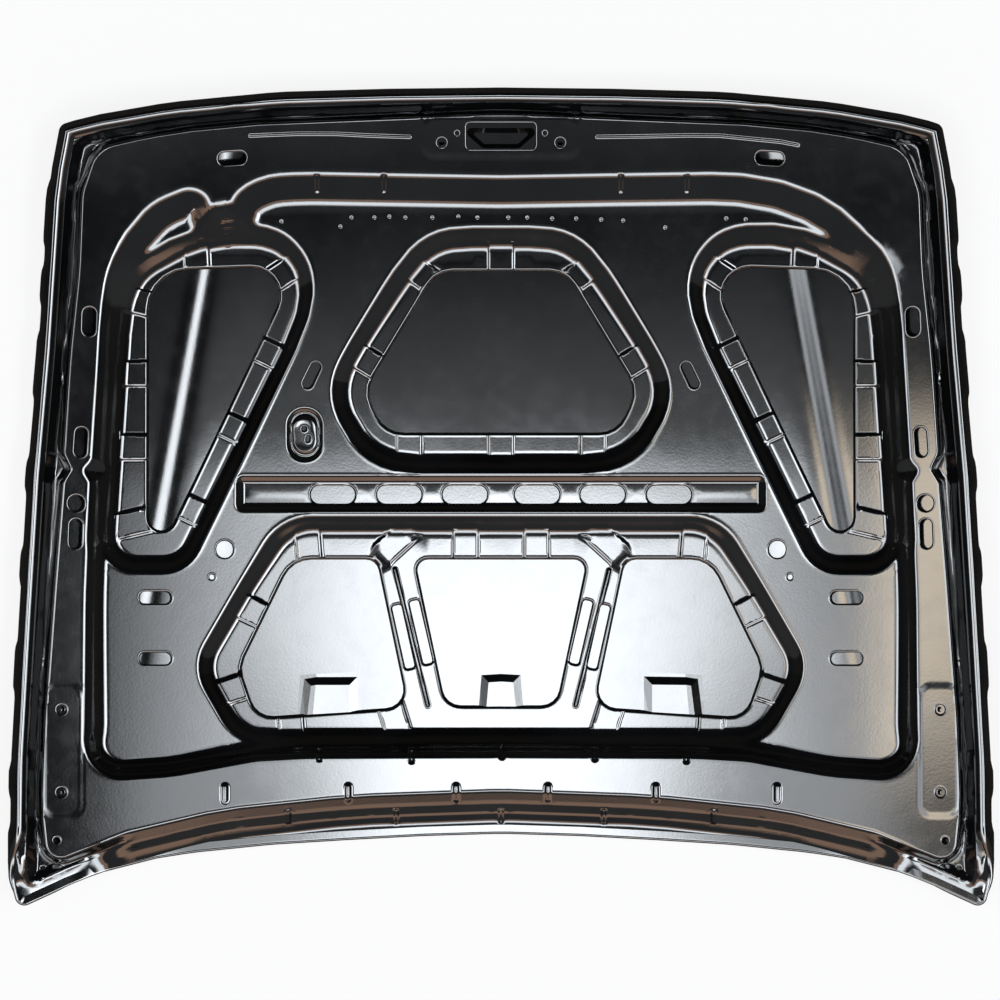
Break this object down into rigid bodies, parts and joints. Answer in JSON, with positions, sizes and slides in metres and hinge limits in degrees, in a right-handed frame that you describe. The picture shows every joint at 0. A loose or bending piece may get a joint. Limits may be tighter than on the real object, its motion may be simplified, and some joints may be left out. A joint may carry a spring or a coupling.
{
  "type": "car bonnet",
  "caption": "Pressed steel car bonnet: crowned outer skin with a folded rim over a pocketed inner panel with hinge seats, a latch opening and a prop boss.",
  "frame": {"origin": "middle of the bounding box in X and Y, at the height of the outer skin's lowest point", "axes": "+X across the car, towards the car's left side, +Y towards the front edge, +Z away from the outer skin, so that the bonnet lies on its outer face with its inner side up"},
  "size_m": [1.492, 1.2416, 0.1058],
  "materials": {
    "coated_steel": "black electrocoat primer, semi-gloss",
    "mastic": "matt black anti-flutter mastic"
  },
  "bodies": {
    "root": {"outer_skin": "coated_steel", "inner_panel": "coated_steel", "striker_reinforcement": "coated_steel", "rear_reinforcement": "coated_steel", "hinge_reinforcement_right": "coated_steel", "hinge_reinforcement_left": "coated_steel", "hinge_nut_front_left": "coated_steel", "hinge_nut_rear_left": "coated_steel", "latch_nut_left": "coated_steel", "hinge_nut_front_right": "coated_steel", "hinge_nut_rear_right": "coated_steel", "latch_nut_right": "coated_steel", "mastic_triangle_left_1": "mastic", "mastic_triangle_left_2": "mastic", "mastic_triangle_left_3": "mastic", "mastic_triangle_left_4": "mastic", "mastic_triangle_left_5": "mastic", "mastic_triangle_left_6": "mastic", "mastic_triangle_left_7": "mastic", "mastic_triangle_left_8": "mastic", "mastic_triangle_left_9": "mastic", "mastic_triangle_right_1": "mastic", "mastic_triangle_right_2": "mastic", "mastic_triangle_right_3": "mastic", "mastic_triangle_right_4": "mastic", "mastic_triangle_right_5": "mastic", "mastic_triangle_right_6": "mastic", "mastic_triangle_right_7": "mastic", "mastic_triangle_right_8": "mastic", "mastic_triangle_right_9": "mastic", "mastic_trapezoid_left_1": "mastic", "mastic_trapezoid_left_2": "mastic", "mastic_trapezoid_left_3": "mastic", "mastic_trapezoid_right_1": "mastic", "mastic_trapezoid_right_2": "mastic", "mastic_trapezoid_right_3": "mastic", "mastic_lower_left_1": "mastic", "mastic_lower_left_2": "mastic", "mastic_lower_left_3": "mastic", "mastic_lower_left_4": "mastic", "mastic_lower_left_5": "mastic", "mastic_lower_left_6": "mastic", "mastic_lower_left_7": "mastic", "mastic_lower_right_1": "mastic", "mastic_lower_right_2": "mastic", "mastic_lower_right_3": "mastic", "mastic_lower_right_4": "mastic", "mastic_lower_right_5": "mastic", "mastic_lower_right_6": "mastic", "mastic_lower_right_7": "mastic", "mastic_trapezoid_front": "mastic", "mastic_trapezoid_rear": "mastic"}
  },
  "joints": []
}
